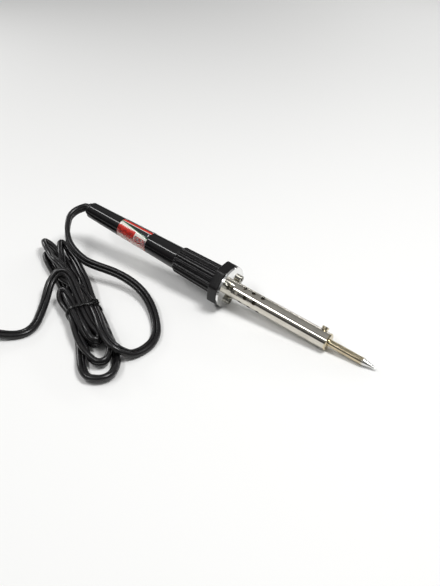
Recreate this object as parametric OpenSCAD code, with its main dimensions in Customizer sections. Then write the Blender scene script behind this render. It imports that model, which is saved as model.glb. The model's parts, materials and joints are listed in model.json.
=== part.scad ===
// Mains pencil soldering iron lying on a bench: fluted handle with an octagonal collar, vented steel
// barrel, clamped bit, and a flat twin-core cord that is folded into a tied hank and ends in a plug.
// The iron is drawn along its own axis, from the front face of the flange disc (0) towards the bit (+)
// and the cord (-), and then laid down on z = 0: it rests on the collar and on the front of the barrel.

/* [Handle] */
// Length of the smooth tapered part behind the grip
sleeve_len = 83.3; // [60:0.1:110]
// Diameter of the smooth part at the cord end
sleeve_rear_d = 11.8; // [11:0.1:14]
// Diameter of the smooth part where the grip starts
sleeve_front_d = 16.2; // [15:0.1:18]
// Length of the fluted grip
grip_len = 34.5; // [25:0.1:50]
// Diameter over the ribs at the back of the grip
grip_rear_d = 18.8; // [18:0.1:22]
// Diameter over the ribs at the collar
grip_front_d = 20.6; // [19:0.1:24]
// Number of ribs round the grip
rib_count = 16; // [12:1:20]
// Depth of the flutes between the ribs
flute_depth = 0.9; // [0.4:0.1:1.2]
// Radius of a flute's hollow
flute_r = 1.3; // [1:0.1:1.4]
// Length of plain grip between the flutes and the collar
flute_stop = 0.6; // [0.2:0.1:2]
// Width of the octagonal collar across its flats
collar_af = 29; // [28:0.1:36]
// Thickness of the collar along the axis
collar_len = 7.2; // [6:0.1:12]
// Diameter of the wiring space in the smooth part
sleeve_bore_d = 8.8; // [8.4:0.1:9]
// Diameter of the wiring space in the grip
grip_bore_d = 12; // [11.8:0.1:12.4]

/* [Label] */
// Distance from the cord end of the handle to the label
label_from_end = 31; // [20:0.5:40]
// Length of the label along the handle
label_len = 26.5; // [15:0.5:30]
// Thickness of the label foil
label_t = 0.12; // [0.08:0.01:0.3]
// Angle of the gap between the label's two edges, round the axis
label_gap_angle = -45; // [-180:5:180]
// Angle that the label wraps round the handle
label_wrap = 330; // [180:5:350]

/* [Flange] */
// Thickness of the steel flange disc
flange_t = 1.5; // [1:0.1:3]
// Gap between a flange screw's head and the barrel
screw_gap = 0.9; // [0.5:0.1:1.4]
// Angle of the first flange screw round the axis
first_screw_angle = 15; // [0:1:119]
// Diameter of a flange screw's head
screw_head_d = 5.2; // [4.5:0.1:5.4]
// Height of a flange screw's head
screw_head_h = 2.3; // [1.5:0.1:3]
// Thread diameter of the flange screws
screw_d = 2.9; // [2.5:0.1:3]
// Length of a flange screw under its head
screw_len = 6.5; // [5:0.1:8]
// Diameter of the threaded brass inserts in the collar
insert_d = 4; // [3.8:0.1:4.2]

/* [Barrel] */
// Outside diameter of the barrel tube
barrel_d = 11.4; // [11:0.1:14]
// Wall of the barrel tube
barrel_wall = 0.5; // [0.4:0.1:0.8]
// Length of the barrel tube in front of the flange
barrel_len = 74.3; // [60:0.1:100]
// Diameter of a vent hole
vent_d = 2.9; // [2:0.1:3.2]
// Distance between vent holes in one row
vent_pitch = 7.1; // [5:0.1:8]
// Distance from the flange to the first vent hole
vent_start = 7.4; // [6:0.1:9]
// Length of the cap's plug inside the barrel
cap_plug_len = 12; // [10:0.1:14]
// Thickness of the cap's lip in front of the barrel
cap_lip = 1.2; // [0.8:0.1:2]

/* [Set screw] */
// Distance of the set screw behind the front of the barrel tube
set_from_front = 5.2; // [4:0.1:7]
// Direction of the set screw round the axis, from the side facing -Y over the top
set_angle = 135; // [0:1:359]
// Thread diameter of the set screw
set_d = 2.9; // [2.5:0.1:3]
// Diameter of the set screw's head
set_head_d = 4.4; // [4:0.1:5]
// Height of the set screw's head
set_head_h = 1.9; // [1.5:0.1:2.5]

/* [Bit] */
// Diameter of the bit's shank
bit_d = 4.8; // [4:0.1:5.8]
// Length of the bit in front of the cap
bit_out = 33; // [25:0.5:45]
// Length of the bit inside the cap and the heater
bit_in = 60; // [58:0.5:62]
// Length of the conical point
cone_len = 9; // [6:0.5:14]
// Radius of the rounded end of the point
bit_end_r = 0.4; // [0.2:0.1:0.8]
// Gap between the shank and its bore in the cap, on the radius
bit_fit = 0.06; // [0.04:0.01:0.1]

/* [Heater] */
// Wall of the ceramic heater tube
core_wall = 1.05; // [0.9:0.05:1.1]
// Gap between the bit's shank and the heater tube, on the radius
core_gap = 0.15; // [0.1:0.05:0.2]
// Width of the heating ribbon
ribbon_w = 1.2; // [0.8:0.1:1.4]
// Thickness of the heating ribbon
ribbon_t = 0.3; // [0.2:0.05:0.35]
// Number of turns of the heating ribbon
ribbon_turns = 9; // [6:1:12]
// Wall of the mica sleeve
mica_t = 0.3; // [0.2:0.05:0.4]
// Diameter of the wires from the heater
lead_wire_d = 0.8; // [0.6:0.1:1]

/* [Terminal block] */
// Thickness of the terminal block
block_t = 5; // [4:0.1:6]
// Width of the terminal block, across its two poles
block_w = 8; // [7:0.1:9]
// Length of the terminal block
block_len = 14; // [12:0.5:18]
// Depth that the wires go into the terminal block
wire_depth = 5; // [4:0.5:6]
// Thread diameter of a terminal screw
terminal_d = 1.6; // [1.2:0.1:2]
// Diameter of a terminal screw's head
terminal_head_d = 2.6; // [2:0.1:3]

/* [Cord] */
// Width of the flat twin cord
cord_w = 6.2; // [6:0.1:6.4]
// Thickness of the flat twin cord
cord_t = 3.8; // [3.6:0.1:4]
// Diameter of one of the cord's two copper cores
core_wire_d = 1.2; // [0.8:0.1:1.4]
// Length of the rubber grommet that shows behind the handle
grommet_out = 2.3; // [1.5:0.1:4]
// Height of the folded hank
hank_h = 10.4; // [9:0.1:10.8]
// Width of the tie round the hank
tie_w = 2.6; // [2:0.1:4]
// Thickness of the tie
tie_t = 0.8; // [0.6:0.1:1.2]

/* [Plug] */
// Length of the plug's body
plug_len = 35; // [30:0.5:40]
// Thickness of the plug's body
plug_t = 13.7; // [12:0.1:15]
// Width of the plug's body at its widest
plug_w = 31; // [28:0.5:34]
// Distance between the plug's pins
pin_gap = 19; // [18:0.1:20]
// Diameter of a plug pin
pin_d = 4; // [3.8:0.1:4.8]
// Length of a plug pin in front of the body
pin_len = 19; // [18:0.1:20]
// Length of the insulated part of a plug pin
sleeve_pin_len = 9; // [6:0.1:10]
// Wall of the insulation on a plug pin
sleeve_pin_wall = 0.5; // [0.4:0.1:0.7]
// Length of a plug pin's root inside the body
pin_root = 8; // [6:0.5:12]
// Length of the plug's strain relief
relief_len = 22; // [20:0.5:30]

/* [Hidden] */
$fn = 64;
touch = 0.01;        // overshoot of a cut past the face that it opens

// Stations along the iron's axis
collar_rear = -flange_t - collar_len;
grip_rear = collar_rear - grip_len;
handle_rear = grip_rear - sleeve_len;
cap_front = barrel_len + cap_lip;
cap_rear = barrel_len - cap_plug_len;
bit_rear = cap_front - bit_in;
bit_front = cap_front + bit_out;
core_front = cap_rear - 2;    // the front insulator fills these 2 mm
core_rear = 10;
insulator_rear = 3;
set_at = barrel_len - set_from_front;
block_front = -20;
block_rear = block_front - block_len;
sheath_end = -50;
clamp_front = -56;
clamp_len = 4;
grommet_neck = 6;

// Radii
cap_bevel = 0.5;
collar_r = collar_af / 2;
barrel_r = barrel_d / 2;
barrel_bore_r = barrel_r - barrel_wall;
lip_r = barrel_r + 1.1;
lip_t = 0.8;
bit_r = bit_d / 2;
bit_bore_r = bit_r + bit_fit;
core_bore_r = bit_r + core_gap;
core_r = core_bore_r + core_wall;
screw_pcd = barrel_d + screw_head_d + 2 * screw_gap;
ribbon_r = core_r + ribbon_t;
mica_bore_r = ribbon_r + 0.15;
grommet_r = cord_w / 2 + 0.8;
grommet_lip_r = grommet_r + 0.35;
insulator_gap = 0.1;
core_offset = cord_w / 4;    // each core of the cord lies this far from the cord's middle
pin_r = pin_d / 2;
pin_stem_r = pin_r - sleeve_pin_wall;

// The collar's lower front edge touches z = 0, and so does the cap's edge, or the bit if it is longer or thicker
function lean_on(radius, s) = atan2(collar_r - radius, s + flange_t);
tilt = min(lean_on(barrel_r, cap_front - cap_bevel), lean_on(barrel_r - cap_bevel, cap_front),
    lean_on(bit_r, bit_front - cone_len), lean_on(bit_end_r, bit_front - bit_end_r));
axis_h = collar_r * cos(tilt) - flange_t * sin(tilt);
flange_r = collar_r - flange_t * tan(tilt) - 0.02;    // the disc stays just clear of the bench

// The origin is under the middle of the iron's own length
end_x = (handle_rear - grommet_out) * cos(tilt) - grommet_lip_r * sin(tilt);
front_x = (bit_front - bit_end_r) * cos(tilt) + bit_end_r;
shift_x = -(end_x + front_x) / 2;

// Row of vent holes k is turned by 60 degrees, and every second row is half a pitch forward
vent_rows = 6;
vents_per_row = 3;

// Free cord
function on_axis(s) = [s * cos(tilt) + shift_x, 0, axis_h - s * sin(tilt)];
// Route of the lead from the handle to the hank: x, y, z and the turn of the flat side in degrees
lead_route = concat([for (out = [0, 1.5, 3]) concat(on_axis(handle_rear - grommet_out - out), 90)], [
    [-123.6, -2.8, 28.9, 90], [-125.8, -8, 27.8, 90], [-125.2, -14.5, 25.8, 90], [-121.5, -21.5, 23, 85],
    [-115, -28, 20, 75], [-105.5, -33.5, 17, 60], [-94.5, -36, 14.8, 40], [-81, -33.5, 12.5, 20],
    [-67.5, -30, 11, 10], [-56.5, -28.5, 9, 0], [-44, -29.5, 6.5, 0], [-31.5, -34.5, 4, 0], [-20, -42.5, 2.3, 0],
    [-11, -51, 2, 0], [-6, -58.5, 2, 0], [-4.5, -66.5, 2, 0], [-6, -74.5, 2, 0], [-8.5, -81, 3.5, 0],
    [-12, -86, 6.5, 0]]);
// Route of the tail from the hank to the plug
tail_route = [[-93, -49, 10, 0], [-97, -51, 12.2, 0], [-98.5, -55, 12.2, 0], [-96.5, -61, 10.5, 0],
    [-93, -67, 7.5, 0], [-88, -75, 4.2, 0], [-82.5, -84.5, 2.4, 0], [-77, -93.5, 2.1, 0],
    [-75, -100, 2.1, 0], [-76.8, -106, 2.1, 0], [-82, -111.2, 2.6, 0], [-88.5, -116.2, 4.4, 0]];

// The hank lies along this line, from its upper folds to its lower ones
hank_tie = [-57, -69];
hank_turn = -29.6;
hank_top = [-88, -3];
hank_top_r = 14;
hank_waist_r = 9.8;
hank_foot = [48, -3.5];
hank_foot_r = 14;

// Plug
plug_at = [-95.5, -121.4];
plug_turn = -143;
relief_mouth_r = 3.4;
relief_root_r = 5.2;

// ---- Helpers ----

// Lays a piece that is drawn along +Z (the iron's axis, with +Y up and -X facing away) on the bench
module laid() {
    translate([shift_x, 0, axis_h]) rotate([0, 90 + tilt, 0]) rotate([0, 0, 90]) children();
}

module tube(r_out, r_in, from, to) {
    rotate_extrude() translate([r_in, from]) square([r_out - r_in, to - from]);
}

module rod(r, from, to) {
    translate([0, 0, from]) cylinder(r = r, h = to - from);
}

// Section of the flat cord: two round cores side by side along y
module cord_section(grow = 0) {
    reach = (cord_w - cord_t) / 2;
    for (side = [-1, 1]) translate([0, side * reach]) circle(r = cord_t / 2 + grow);
    square([cord_t + 2 * grow, 2 * reach], center = true);
}

// Points of an arc about a centre, from one angle to another
function arc(centre, r, from, to, steps = 16) =
    [for (k = [0:steps]) centre + r * [cos(from + (to - from) * k / steps), sin(from + (to - from) * k / steps)]];

// Point k of a route, held at its ends, and a smooth point between k and k + 1
function held(route, k) = route[min(max(k, 0), len(route) - 1)];
function smooth(route, k, f) =
    let (a = held(route, k - 1), b = held(route, k), c = held(route, k + 1), d = held(route, k + 2))
    0.5 * (2 * b + (c - a) * f + (2 * a - 5 * b + 4 * c - d) * f * f + (3 * b - a - 3 * c + d) * f * f * f);
function rings(route) = concat([for (k = [0:len(route) - 2], f = [0, 0.5]) smooth(route, k, f)],
    [held(route, len(route))]);
function place(p) = [p[0], p[1], p[2]];
function unit(v) = v / norm(v);
function heading(line, k) = unit(place(held(line, k + 1)) - place(held(line, k - 1)));
section = [for (side = [1, -1], q = [[0.5, 0.27], [0.33, 0.5], [-0.33, 0.5], [-0.5, 0.27]])
    [side * q[0] * cord_w, side * q[1] * cord_t]];
function ring_points(line, k) =
    let (ahead = heading(line, k), flat = unit(cross([0, 0, 1], ahead)), up = cross(ahead, flat),
        turn = line[k][3])
    [for (q = section) place(line[k])
        + (q[0] * cos(turn) - q[1] * sin(turn)) * flat + (q[0] * sin(turn) + q[1] * cos(turn)) * up];

module cord_along(route) {
    line = rings(route);
    n = len(line);
    m = len(section);
    polyhedron(
        points = [for (k = [0:n - 1]) each ring_points(line, k)],
        faces = concat([[for (j = [0:m - 1]) m - 1 - j]], [[for (j = [0:m - 1]) (n - 1) * m + j]],
            [for (k = [0:n - 2], j = [0:m - 1])
                let (j2 = (j + 1) % m) each [
                    [k * m + j, k * m + j2, (k + 1) * m + j2],
                    [k * m + j, (k + 1) * m + j2, (k + 1) * m + j]]]));
}

// ---- Handle ----

module at_flange_screws() {
    for (k = [0:2]) rotate([0, 0, first_screw_angle + 120 * k]) translate([screw_pcd / 2, 0, 0]) children();
}

module handle() {
    shoulder = 1.6;
    lean = atan2(grip_front_d - grip_rear_d, 2 * grip_len);
    color([0.06, 0.06, 0.06]) laid() difference() {
        union() {
            rotate_extrude() polygon([
                [0, handle_rear], [sleeve_rear_d / 2 - 0.8, handle_rear],
                [sleeve_rear_d / 2, handle_rear + 0.8], [sleeve_front_d / 2, grip_rear],
                [grip_rear_d / 2 - 0.5, grip_rear + 0.4], [grip_rear_d / 2, grip_rear + shoulder],
                [grip_front_d / 2, collar_rear], [0, collar_rear]]);
            rotate([0, 0, 22.5]) translate([0, 0, collar_rear])
                linear_extrude(collar_len) circle(r = collar_r / cos(22.5), $fn = 8);
        }
        for (k = [0:rib_count - 1]) rotate([0, 0, k * 360 / rib_count])
            translate([grip_rear_d / 2 + flute_r - flute_depth, 0, grip_rear]) rotate([0, lean, 0])
                translate([0, 0, -3]) cylinder(r = flute_r, h = grip_len + 3 - flute_stop);
        rod(grommet_r, handle_rear - touch, handle_rear + grommet_neck + touch);
        rod(sleeve_bore_d / 2, handle_rear + grommet_neck, grip_rear + touch);
        rod(grip_bore_d / 2, grip_rear, -flange_t + touch);
        rod(lip_r, -flange_t - lip_t, -flange_t + touch);
        at_flange_screws() rod(insert_d / 2, -flange_t - screw_len, -flange_t + touch);
    }
}

function sleeve_r(s) = sleeve_rear_d / 2
    + (sleeve_front_d - sleeve_rear_d) / 2 * (s - handle_rear - 0.8) / (sleeve_len - 0.8);

module label() {
    from = handle_rear + label_from_end;
    to = from + label_len;
    color([0.9, 0.88, 0.84]) laid() rotate([0, 0, label_gap_angle + (360 - label_wrap) / 2])
        rotate_extrude(angle = label_wrap) polygon([
            [sleeve_r(from), from], [sleeve_r(from) + label_t, from],
            [sleeve_r(to) + label_t, to], [sleeve_r(to), to]]);
}

module cord_grommet() {
    color([0.1, 0.1, 0.1]) laid() difference() {
        rotate_extrude() polygon([[0, handle_rear + grommet_neck], [grommet_r, handle_rear + grommet_neck],
            [grommet_r, handle_rear], [grommet_lip_r, handle_rear],
            [grommet_lip_r, handle_rear - grommet_out], [0, handle_rear - grommet_out]]);
        translate([0, 0, handle_rear - grommet_out - touch])
            linear_extrude(grommet_out + grommet_neck + 2 * touch) cord_section();
    }
}

// ---- Flange and barrel ----

module flange_disc() {
    color([0.8, 0.8, 0.8]) laid() difference() {
        rod(flange_r, -flange_t, 0);
        rod(barrel_r, -flange_t - touch, touch);
        at_flange_screws() rod(screw_d / 2, -flange_t - touch, touch);
    }
}

module flange_screws() {
    slot_w = 0.8;
    color([0.75, 0.75, 0.75]) laid() at_flange_screws() difference() {
        union() {
            rod(screw_d / 2, -screw_len, 0);
            rod(screw_head_d / 2, 0, screw_head_h);
        }
        for (turn = [0, 90]) rotate([0, 0, turn + 20])
            translate([-screw_head_d / 3, -slot_w / 2, screw_head_h - 1.1])
                cube([screw_head_d * 2 / 3, slot_w, 1.2]);
    }
}

module flange_inserts() {
    color([0.8, 0.65, 0.3]) laid() at_flange_screws()
        tube(insert_d / 2, screw_d / 2, -flange_t - screw_len, -flange_t);
}

module barrel_tube() {
    color([0.75, 0.73, 0.7]) laid() difference() {
        union() {
            tube(barrel_r, barrel_bore_r, -flange_t - lip_t, barrel_len);
            tube(lip_r, barrel_bore_r, -flange_t - lip_t, -flange_t);
        }
        for (k = [0:vent_rows - 1], j = [0:vents_per_row - 1])
            rotate([0, 0, k * 360 / vent_rows])
                translate([0, 0, vent_start + (j + (k % 2 == 0 ? 0.5 : 0)) * vent_pitch])
                    rotate([-90, 0, 0]) translate([0, 0, 1]) cylinder(r = vent_d / 2, h = barrel_r);
        set_screw_line() rod(set_d / 2 + 0.15, 1, barrel_r + 1);
    }
}

module barrel_cap() {
    color([0.78, 0.66, 0.4]) laid() difference() {
        rotate_extrude() polygon([
            [bit_bore_r, cap_rear], [barrel_bore_r, cap_rear], [barrel_bore_r, barrel_len],
            [barrel_r, barrel_len], [barrel_r, cap_front - cap_bevel], [barrel_r - cap_bevel, cap_front],
            [bit_bore_r, cap_front]]);
        set_screw_line() rod(set_d / 2 + 0.03, 0, barrel_r + 1);
    }
}

// The set screw's own line: +Z points out of the barrel
module set_screw_line() {
    translate([0, 0, set_at]) rotate([0, 0, 180 - set_angle]) rotate([0, 90, 0]) children();
}

module set_screw() {
    slot_w = 0.7;
    seat = barrel_r + 0.15;
    color([0.8, 0.8, 0.78]) laid() set_screw_line() difference() {
        union() {
            rod(set_d / 2, bit_r + 0.08, seat);
            rod(set_head_d / 2, seat, seat + set_head_h);
        }
        translate([-set_head_d, -slot_w / 2, seat + set_head_h - 0.9]) cube([2 * set_head_d, slot_w, 1]);
    }
}

module soldering_tip() {
    cone_from = bit_front - cone_len;
    ball = bit_front - bit_end_r;
    color([0.75, 0.65, 0.4]) laid() rotate_extrude() polygon(concat(
        [[0, bit_rear], [bit_r - 0.3, bit_rear], [bit_r, bit_rear + 0.3], [bit_r, cone_from]],
        [for (a = [12:13:90]) [bit_end_r * cos(a), ball + bit_end_r * sin(a)]], [[0, bit_front]]));
}

// ---- Heater ----

module heater_core() {
    color([0.93, 0.92, 0.88]) laid() tube(core_r, core_bore_r, core_rear, core_front);
}

module heating_coil() {
    margin = 3;
    pitch = (core_front - core_rear - 2 * margin) / ribbon_turns;
    arc = 360 * ribbon_w / pitch;
    steps = 14;
    color([0.6, 0.6, 0.62]) laid() translate([0, 0, core_rear + margin])
        linear_extrude(height = ribbon_turns * pitch, twist = -360 * ribbon_turns,
            slices = steps * ribbon_turns, segments = 8)
            polygon(concat(
                [for (k = [0:3]) (core_r + 0.02) / cos(180 / steps) * [cos(k * arc / 3), sin(k * arc / 3)]],
                [for (k = [3:-1:0]) (ribbon_r + 0.05) * [cos(k * arc / 3), sin(k * arc / 3)]]));
}

module mica_sleeve() {
    color([0.8, 0.75, 0.6]) laid()
        tube(mica_bore_r + mica_t, mica_bore_r, core_rear, core_front);
}

module front_insulator() {
    color([0.93, 0.92, 0.88]) laid() tube(barrel_bore_r - insulator_gap, core_bore_r, core_front, cap_rear);
}

module rear_insulator() {
    color([0.93, 0.92, 0.88]) laid() difference() {
        rod(barrel_bore_r - insulator_gap, insulator_rear, core_rear);
        at_cores() rod(lead_wire_d / 2, insulator_rear - touch, core_rear + touch);
    }
}

// ---- Wiring ----

// The two poles lie one above the other
module at_cores() {
    for (side = [-1, 1]) translate([0, side * core_offset, 0]) children();
}

module heater_leads() {
    color([0.7, 0.7, 0.72]) laid() at_cores() rod(lead_wire_d / 2, block_front - wire_depth, core_rear);
}

module lead_sleeves() {
    wall = 0.5;
    color([0.85, 0.85, 0.8]) laid() at_cores()
        tube(lead_wire_d / 2 + wall, lead_wire_d / 2, block_front, insulator_rear);
}

module terminal_block() {
    color([0.9, 0.9, 0.86]) laid() difference() {
        translate([-block_t / 2, -block_w / 2, block_rear]) cube([block_t, block_w, block_len]);
        at_cores() rod(lead_wire_d / 2, block_front - wire_depth, block_front + touch);
        at_cores() rod(core_wire_d / 2, block_rear - touch, block_rear + wire_depth);
        at_terminal_screws() rod(terminal_d / 2, 0, block_t / 2 + touch);
    }
}

// The screws press on the wires half way along them; +Z points out of the block
module at_terminal_screws() {
    at_cores() for (s = [block_rear + wire_depth / 2, block_front - wire_depth / 2])
        translate([0, 0, s]) rotate([0, 90, 0]) children();
}

module terminal_screws() {
    head_h = 0.9;
    color([0.8, 0.7, 0.4]) laid() at_terminal_screws() {
        rod(terminal_d / 2, core_wire_d / 2, block_t / 2);
        rod(terminal_head_d / 2, block_t / 2, block_t / 2 + head_h);
    }
}

module cord_cores() {
    color([0.8, 0.5, 0.3]) laid() at_cores() rod(core_wire_d / 2, sheath_end, block_rear + wire_depth);
}

module cord_clamp() {
    gap = 0.1;
    color([0.7, 0.7, 0.72]) laid() translate([0, 0, clamp_front - clamp_len]) linear_extrude(clamp_len)
        difference() {
            circle(r = sleeve_bore_d / 2 - gap);
            cord_section();
        }
}

module cord_inside() {
    color([0.08, 0.08, 0.08]) laid() translate([0, 0, handle_rear - grommet_out])
        linear_extrude(sheath_end - handle_rear + grommet_out) cord_section();
}

// ---- Free cord ----

module cord_lead() {
    color([0.08, 0.08, 0.08]) cord_along(lead_route);
}

module hank_outline() {
    past = 4;    // an end's arc runs this far past a half turn, to meet the slanting sides
    polygon(concat(arc(hank_foot, hank_foot_r, -90 - past, 90 + past), [[0, hank_waist_r]],
        arc(hank_top, hank_top_r, 90 - past, 270 + past), [[0, -hank_waist_r]]));
}

module in_hank() {
    translate([hank_tie[0], hank_tie[1], 0]) rotate([0, 0, hank_turn]) children();
}

module cord_hank() {
    notch = [tie_w, 3 * hank_waist_r, tie_t];    // room for the tie under the hank
    color([0.08, 0.08, 0.08]) in_hank() difference() {
        linear_extrude(hank_h) hank_outline();
        translate([-notch[0] / 2, -notch[1] / 2, -touch]) cube(notch + [0, 0, touch]);
    }
}

module cord_tie() {
    inner = [tie_w + 2 * touch, 2 * (hank_waist_r + 0.3), hank_h - tie_t];
    outer = [tie_w, inner[1] + 2 * tie_t, hank_h + tie_t];
    color([0.05, 0.05, 0.05]) in_hank() difference() {
        translate([-outer[0] / 2, -outer[1] / 2, 0]) cube(outer);
        translate([-inner[0] / 2, -inner[1] / 2, tie_t]) cube(inner);
    }
}

module cord_tail() {
    color([0.08, 0.08, 0.08]) cord_along(concat(tail_route, [[plug_at[0], plug_at[1], plug_t / 2, 0]]));
}

// Plug: drawn along +X from the mouth of its strain relief
module in_plug() {
    translate([plug_at[0], plug_at[1], plug_t / 2]) rotate([0, 0, plug_turn]) children();
}

module plug_body() {
    neck = relief_root_r + 1.5;
    shoulder = relief_len + plug_len * 0.45;
    chamfer = 2.5;
    front = relief_len + plug_len;
    half = [[relief_len, neck], [shoulder, plug_w / 2], [front - 3.5 * chamfer, plug_w / 2],
        [front, plug_w / 2 - chamfer]];
    color([0.07, 0.07, 0.07]) in_plug() difference() {
        translate([0, 0, -plug_t / 2]) linear_extrude(plug_t)
            polygon(concat(half, [for (k = [len(half) - 1:-1:0]) [half[k][0], -half[k][1]]]));
        at_pins() rod(pin_stem_r, -pin_root, touch);
    }
}

// +Z points out of the body along a pin
module at_pins() {
    for (side = [-1, 1])
        translate([relief_len + plug_len, side * pin_gap / 2, 0]) rotate([0, 90, 0]) children();
}

// The stem is thinner as far as its insulation reaches
module plug_pins() {
    tip = 1;
    step = 0.3;
    color([0.8, 0.7, 0.4]) in_plug() at_pins() rotate_extrude()
        polygon([[0, -pin_root], [pin_stem_r, -pin_root], [pin_stem_r, sleeve_pin_len],
            [pin_r, sleeve_pin_len + step], [pin_r, pin_len - tip], [pin_r - tip, pin_len], [0, pin_len]]);
}

module pin_sleeves() {
    gap = 0.2;    // the insulation is a little thinner than the bare part, and clear of what fits it
    color([0.1, 0.1, 0.1]) in_plug() at_pins() tube(pin_r - gap, pin_stem_r, 0, sleeve_pin_len);
}

module plug_relief() {
    color([0.07, 0.07, 0.07]) in_plug() rotate([0, 90, 0])
        cylinder(r1 = relief_mouth_r, r2 = relief_root_r, h = relief_len);
}

handle();
label();
cord_grommet();
flange_disc();
flange_screws();
flange_inserts();
barrel_tube();
barrel_cap();
set_screw();
soldering_tip();
heater_core();
heating_coil();
mica_sleeve();
front_insulator();
rear_insulator();
heater_leads();
lead_sleeves();
terminal_block();
terminal_screws();
cord_cores();
cord_clamp();
cord_inside();
cord_lead();
cord_hank();
cord_tie();
cord_tail();
plug_body();
plug_pins();
pin_sleeves();
plug_relief();
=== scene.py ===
"""Looks of a mains pencil soldering iron that lies on a bench, with its flat cord folded into a tied hank.

Everything is in metres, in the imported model's frame: X runs towards the point of the bit, and z = 0 is the
bench. Numbers that are multiplied by MM, and the points of the cord, are in millimetres.
"""

import json
import math

import bmesh
import bpy
import numpy as np
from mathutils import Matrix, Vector


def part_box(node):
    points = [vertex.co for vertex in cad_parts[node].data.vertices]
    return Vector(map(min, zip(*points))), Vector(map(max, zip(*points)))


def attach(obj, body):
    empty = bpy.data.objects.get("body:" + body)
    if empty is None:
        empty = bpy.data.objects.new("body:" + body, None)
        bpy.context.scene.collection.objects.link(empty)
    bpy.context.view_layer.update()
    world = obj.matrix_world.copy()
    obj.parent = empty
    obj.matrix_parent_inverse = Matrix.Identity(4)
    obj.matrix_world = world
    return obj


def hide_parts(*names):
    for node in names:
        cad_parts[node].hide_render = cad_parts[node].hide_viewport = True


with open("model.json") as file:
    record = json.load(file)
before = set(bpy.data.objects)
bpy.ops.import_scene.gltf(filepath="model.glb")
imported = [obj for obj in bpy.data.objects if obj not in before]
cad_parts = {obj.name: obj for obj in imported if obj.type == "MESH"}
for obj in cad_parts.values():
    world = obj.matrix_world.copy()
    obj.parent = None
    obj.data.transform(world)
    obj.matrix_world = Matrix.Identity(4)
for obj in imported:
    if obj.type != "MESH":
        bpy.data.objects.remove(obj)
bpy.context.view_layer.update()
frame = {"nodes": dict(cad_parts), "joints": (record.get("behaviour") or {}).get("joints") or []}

MM = 0.001
SCENE = bpy.context.scene

# ---- Places that come from the frame ----

SLIDE = next(j for j in frame["joints"] if j["name"] == "bit_slide")
AHEAD = Vector(SLIDE["axis"]).normalized()    # the iron's axis, towards the bit
SIDE = Vector((0, 1, 0))    # level, away from the camera
UP = AHEAD.cross(SIDE).normalized()    # square to the axis, away from the bench
TILT = math.asin(-AHEAD.z)    # how far the axis dips towards the bit


def middle_of(node):
    low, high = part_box(node)
    return (low + high) / 2


HALF_DISC = 0.75    # half the flange disc's thickness
DISC = middle_of("flange_disc") + AHEAD * HALF_DISC * MM    # middle of the disc's front face

# Stations along the axis, in millimetres in front of the flange disc
HANDLE_REAR = -126.5
GROMMET_REAR = -128.8
GRIP_REAR = -43.2
COLLAR_REAR = -8.7
COLLAR_FRONT = -1.5
LABEL_FROM = -95.5
LABEL_TO = -69.0
BIT_CONE = 99.5

# Radii about the axis, in millimetres
BARREL_R = 5.7
SLEEVE_REAR_R = 5.96
SLEEVE_FRONT_R = 8.1


def on_axis(s, side=0.0, up=0.0):
    """The point s millimetres in front of the flange disc, and that far to the side and up."""
    return DISC + MM * (s * AHEAD + side * SIDE + up * UP)


SLEEVE_FROM = HANDLE_REAR + 1.6    # where the rounded rear end turns into the straight taper
SLEEVE_TO = GRIP_REAR - 0.4


def sleeve_radius(s):
    """The radius of the handle's tapered sleeve, s millimetres in front of the flange disc."""
    return SLEEVE_REAR_R + (SLEEVE_FRONT_R - SLEEVE_REAR_R) * (s - SLEEVE_FROM) / (SLEEVE_TO - SLEEVE_FROM)


def add_piece(name, bm, body, *nodes, slot, material=None):
    """Makes an object of a bmesh, lets it ride on a body and hides the CAD nodes that it stands for."""
    mesh = bpy.data.meshes.new(name)
    bm.to_mesh(mesh)
    bm.free()
    piece = bpy.data.objects.new(name, mesh)
    SCENE.collection.objects.link(piece)
    mesh.shade_smooth()
    if material:
        mesh.materials.append(material)
    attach(piece, body)
    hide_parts(*nodes)
    return piece


def loop_rings(bm, rings, closed=True):
    """Joins rings of points with faces and returns the faces of each gap between two rings."""
    verts = [[bm.verts.new(p) for p in ring] for ring in rings]
    gaps = []
    for k in range(len(rings) if closed else len(rings) - 1):
        a, b = verts[k], verts[(k + 1) % len(rings)]
        around = [(j, (j + 1) % len(a)) for j in range(len(a))]
        gaps.append([bm.faces.new((a[j], b[j], b[i], a[i])) for j, i in around])
    return gaps


# ---- Camera ----

LOOK_AT = Vector((8.8, -9.7, 15.0)) * MM
CAMERA_AZIMUTH = 36.55
CAMERA_RISE = 37.8
CAMERA_DISTANCE = 0.45
LENS = 42.4


def make_camera():
    turn, rise = math.radians(CAMERA_AZIMUTH), math.radians(CAMERA_RISE)
    back = Vector((math.sin(turn) * math.cos(rise), -math.cos(turn) * math.cos(rise), math.sin(rise)))
    data = bpy.data.cameras.new("camera")
    data.lens = LENS
    data.sensor_width = 36
    data.clip_start = 0.01
    camera = bpy.data.objects.new("camera", data)
    camera.location = LOOK_AT + CAMERA_DISTANCE * back
    camera.rotation_euler = (-back).to_track_quat("-Z", "Y").to_euler()
    SCENE.collection.objects.link(camera)
    SCENE.camera = camera


make_camera()

# ---- Cord ----

CORD_W = 6.2 * MM
CORD_T = 3.8 * MM
RING_STEP = 1.5    # distance between the rings of the cord's mesh, in millimetres

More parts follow.
